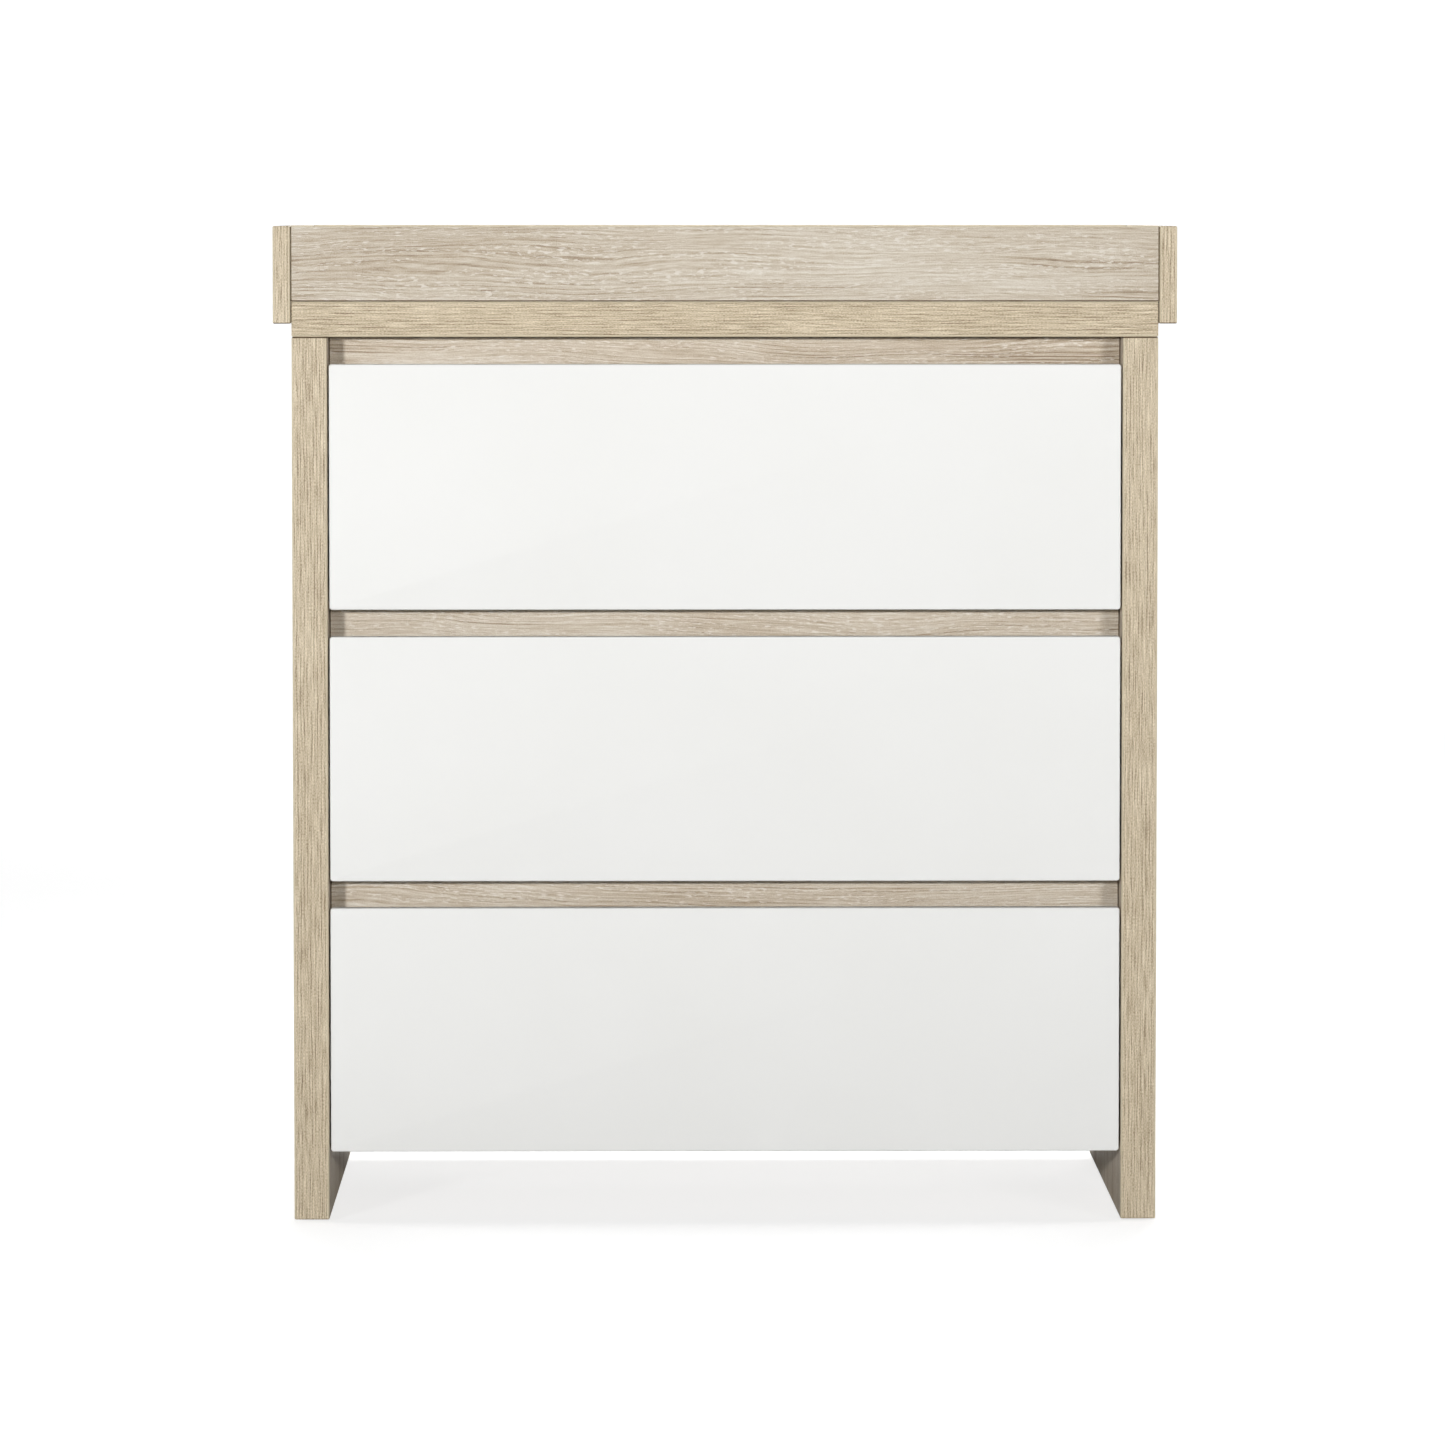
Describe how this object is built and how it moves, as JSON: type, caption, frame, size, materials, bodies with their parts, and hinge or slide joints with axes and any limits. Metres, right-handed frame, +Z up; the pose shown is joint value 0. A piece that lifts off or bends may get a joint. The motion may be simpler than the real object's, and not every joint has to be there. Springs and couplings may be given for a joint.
{
  "type": "changing table",
  "caption": "Baby changing table: a chest of drawers with finger gaps above plain fronts, thick wood-look sides and top, and a lift-off tray around the changing surface.",
  "frame": {"origin": "on the floor, under the middle of the chest", "axes": "+Z up, the drawer fronts face -Y, +X to the right of someone standing in front"},
  "size_m": [0.922, 0.53, 1.0203],
  "materials": {
    "limed_oak_board": "matt embossed limed oak print on board, grain along each board, light arrises",
    "white_front": "satin white foil wrapped over MDF, eased edges",
    "white_box_board": "white melamine board, fine texture",
    "white_sheet": "white printed hardboard, matt",
    "zinc_steel": "bright zinc plated, drawn",
    "joiner_plastic": "white extruded plastic",
    "dowel_beech": "bare beech, fluted",
    "glide_plastic": "black moulded plastic"
  },
  "bodies": {
    "carcass": {"left_side_panel": "limed_oak_board", "right_side_panel": "limed_oak_board", "top_panel": "limed_oak_board", "bottom_panel": "limed_oak_board", "top_cross_rail": "limed_oak_board", "upper_cross_rail": "limed_oak_board", "lower_cross_rail": "limed_oak_board", "back_stretcher": "limed_oak_board", "back_panel_upper": "white_sheet", "back_panel_lower": "white_sheet", "back_panel_joiner": "joiner_plastic", "front_left_glide": "glide_plastic", "front_right_glide": "glide_plastic", "rear_left_glide": "glide_plastic", "rear_right_glide": "glide_plastic", "bottom_left_runner_cabinet_member": "zinc_steel", "bottom_right_runner_cabinet_member": "zinc_steel", "middle_left_runner_cabinet_member": "zinc_steel", "middle_right_runner_cabinet_member": "zinc_steel", "top_left_runner_cabinet_member": "zinc_steel", "top_right_runner_cabinet_member": "zinc_steel"},
    "top_drawer": {"top_drawer_front": "white_front", "top_drawer_left_side": "white_box_board", "top_drawer_right_side": "white_box_board", "top_drawer_back": "white_box_board", "top_drawer_bottom": "white_sheet", "top_drawer_batten": "white_box_board", "top_left_runner_drawer_member": "zinc_steel", "top_right_runner_drawer_member": "zinc_steel"},
    "top_drawer_slides": {"top_left_runner_middle_member": "zinc_steel", "top_right_runner_middle_member": "zinc_steel"},
    "middle_drawer": {"middle_drawer_front": "white_front", "middle_drawer_left_side": "white_box_board", "middle_drawer_right_side": "white_box_board", "middle_drawer_back": "white_box_board", "middle_drawer_bottom": "white_sheet", "middle_drawer_batten": "white_box_board", "middle_left_runner_drawer_member": "zinc_steel", "middle_right_runner_drawer_member": "zinc_steel"},
    "middle_drawer_slides": {"middle_left_runner_middle_member": "zinc_steel", "middle_right_runner_middle_member": "zinc_steel"},
    "bottom_drawer": {"bottom_drawer_front": "white_front", "bottom_drawer_left_side": "white_box_board", "bottom_drawer_right_side": "white_box_board", "bottom_drawer_back": "white_box_board", "bottom_drawer_bottom": "white_sheet", "bottom_drawer_batten": "white_box_board", "bottom_left_runner_drawer_member": "zinc_steel", "bottom_right_runner_drawer_member": "zinc_steel"},
    "bottom_drawer_slides": {"bottom_left_runner_middle_member": "zinc_steel", "bottom_right_runner_middle_member": "zinc_steel"},
    "changing_tray": {"tray_left_end": "limed_oak_board", "tray_right_end": "limed_oak_board", "tray_front_rail": "limed_oak_board", "tray_back_rail": "limed_oak_board", "tray_dowel_front_left": "dowel_beech", "tray_dowel_front_right": "dowel_beech", "tray_dowel_back_left": "dowel_beech", "tray_dowel_back_right": "dowel_beech"}
  },
  "joints": [
    {"name": "top_drawer_slide", "type": "slide", "parent": "carcass", "child": "top_drawer", "axis": [0, -1, 0], "range_m": [0, 0.42]},
    {"name": "top_drawer_slides_travel", "type": "slide", "parent": "carcass", "child": "top_drawer_slides", "axis": [0, -1, 0], "range_m": [0, 0.21]},
    {"name": "middle_drawer_slide", "type": "slide", "parent": "carcass", "child": "middle_drawer", "axis": [0, -1, 0], "range_m": [0, 0.42]},
    {"name": "middle_drawer_slides_travel", "type": "slide", "parent": "carcass", "child": "middle_drawer_slides", "axis": [0, -1, 0], "range_m": [0, 0.21]},
    {"name": "bottom_drawer_slide", "type": "slide", "parent": "carcass", "child": "bottom_drawer", "axis": [0, -1, 0], "range_m": [0, 0.42]},
    {"name": "bottom_drawer_slides_travel", "type": "slide", "parent": "carcass", "child": "bottom_drawer_slides", "axis": [0, -1, 0], "range_m": [0, 0.21]},
    {"name": "changing_tray_lift", "type": "slide", "parent": "carcass", "child": "changing_tray", "axis": [0, 0, 1], "range_m": [0, 0.12]}
  ],
  "couplings": [
    {"joint": "top_drawer_slides_travel", "follows": "top_drawer_slide", "ratio": 0.5},
    {"joint": "middle_drawer_slides_travel", "follows": "middle_drawer_slide", "ratio": 0.5},
    {"joint": "bottom_drawer_slides_travel", "follows": "bottom_drawer_slide", "ratio": 0.5}
  ]
}
